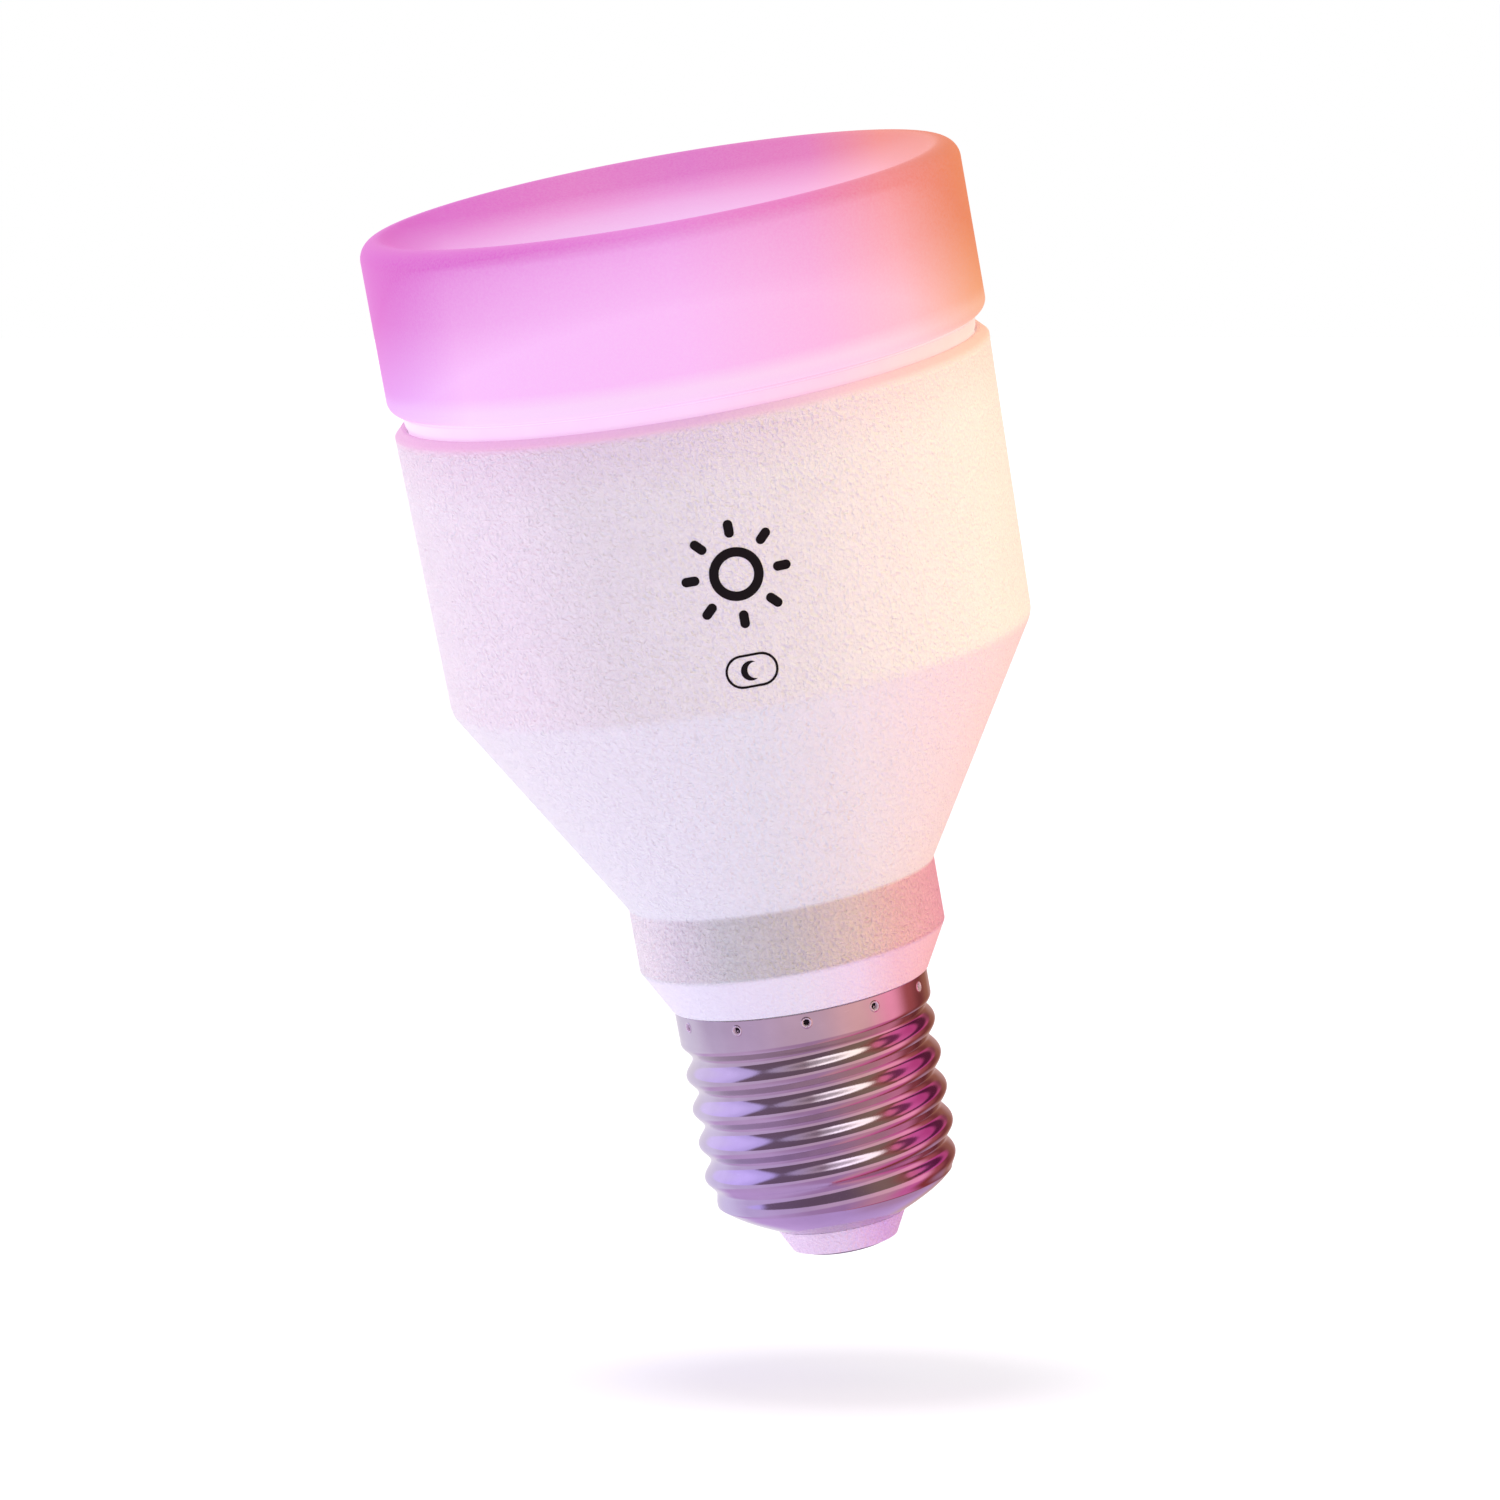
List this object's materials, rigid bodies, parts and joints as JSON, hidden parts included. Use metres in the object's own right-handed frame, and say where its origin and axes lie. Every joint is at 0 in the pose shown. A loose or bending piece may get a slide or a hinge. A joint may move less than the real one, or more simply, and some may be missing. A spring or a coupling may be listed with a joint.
{
  "type": "smart light bulb",
  "caption": "Colour-changing reflector-shaped LED light bulb with a frosted dished cup, a grained white housing that tapers to a collar, and a standard screw cap.",
  "frame": {"origin": "middle of the centre contact's flat face, at the cap end", "axes": "+Z runs along the bulb's axis from the cap to the diffuser; -Y is the side with the printed marks"},
  "size_m": [0.0618, 0.0618, 0.1112],
  "materials": {
    "frosted_diffuser": "frosted translucent polycarbonate, lit magenta to orange from inside",
    "neck_plastic": "satin translucent polycarbonate",
    "seal_rubber": "soft silicone",
    "housing_plastic": "white plastic with a fine leather-like grain",
    "heat_sink_metal": "plain pressed aluminium",
    "thermal_silicone": "grey-blue heat-conducting silicone sheet",
    "led_board_mask": "aluminium-core board with white solder mask",
    "led_colour_package": "white package with a phosphor-yellow window",
    "led_infrared_package": "dark clear package",
    "screw_steel": "zinc-plated steel",
    "driver_board_mask": "glass-epoxy board with green solder mask",
    "sleeve_film": "thin insulating film",
    "capacitor_sleeve": "aluminium can in a dark shrink sleeve",
    "ferrite": "dark ferrite",
    "winding_tape": "yellow polyester tape over the winding",
    "component_epoxy": "black moulded epoxy",
    "resistor_coating": "flameproof lacquer",
    "film_case": "yellow plastic box filled with resin",
    "varistor_coating": "blue epoxy dip",
    "header_plastic": "black header body",
    "module_mask": "glass-epoxy board with dark blue solder mask",
    "shield_metal": "tinned steel can",
    "cap_nickel": "bright nickel-plated sheet",
    "insulator_plastic": "light moulded plastic with a faint grain",
    "contact_metal": "nickel-plated brass",
    "wire_red": "silicone-covered wire",
    "wire_blue": "silicone-covered wire",
    "wire_black": "silicone-covered wire"
  },
  "bodies": {
    "root": {"board_screw_1": "screw_steel", "board_screw_2": "screw_steel", "board_screw_3": "screw_steel", "bridge_rectifier": "component_epoxy", "buck_inductor": "ferrite", "cap_insulator": "insulator_plastic", "centre_contact": "contact_metal", "diffuser": "frosted_diffuser", "driver_board": "driver_board_mask", "driver_chip": "component_epoxy", "film_capacitor": "film_case", "fuse_resistor": "resistor_coating", "heat_sink": "heat_sink_metal", "housing": "housing_plastic", "input_capacitor": "capacitor_sleeve", "insulating_sleeve": "sleeve_film", "led_board": "led_board_mask", "led_colour_1": "led_colour_package", "led_colour_2": "led_colour_package", "led_colour_3": "led_colour_package", "led_colour_4": "led_colour_package", "led_colour_5": "led_colour_package", "led_colour_6": "led_colour_package", "led_colour_7": "led_colour_package", "led_colour_8": "led_colour_package", "led_infrared_1": "led_infrared_package", "led_infrared_2": "led_infrared_package", "led_infrared_3": "led_infrared_package", "led_infrared_4": "led_infrared_package", "led_wire_negative": "wire_black", "led_wire_positive": "wire_red", "live_wire": "wire_black", "mains_choke": "ferrite", "module_header": "header_plastic", "neck_ring": "neck_plastic", "neutral_wire": "wire_blue", "output_capacitor": "capacitor_sleeve", "screw_shell": "cap_nickel", "seal_ring": "seal_rubber", "thermal_pad": "thermal_silicone", "transformer_core": "ferrite", "transformer_winding": "winding_tape", "varistor": "varistor_coating", "wifi_module": "module_mask", "wifi_shield": "shield_metal"}
  },
  "joints": []
}
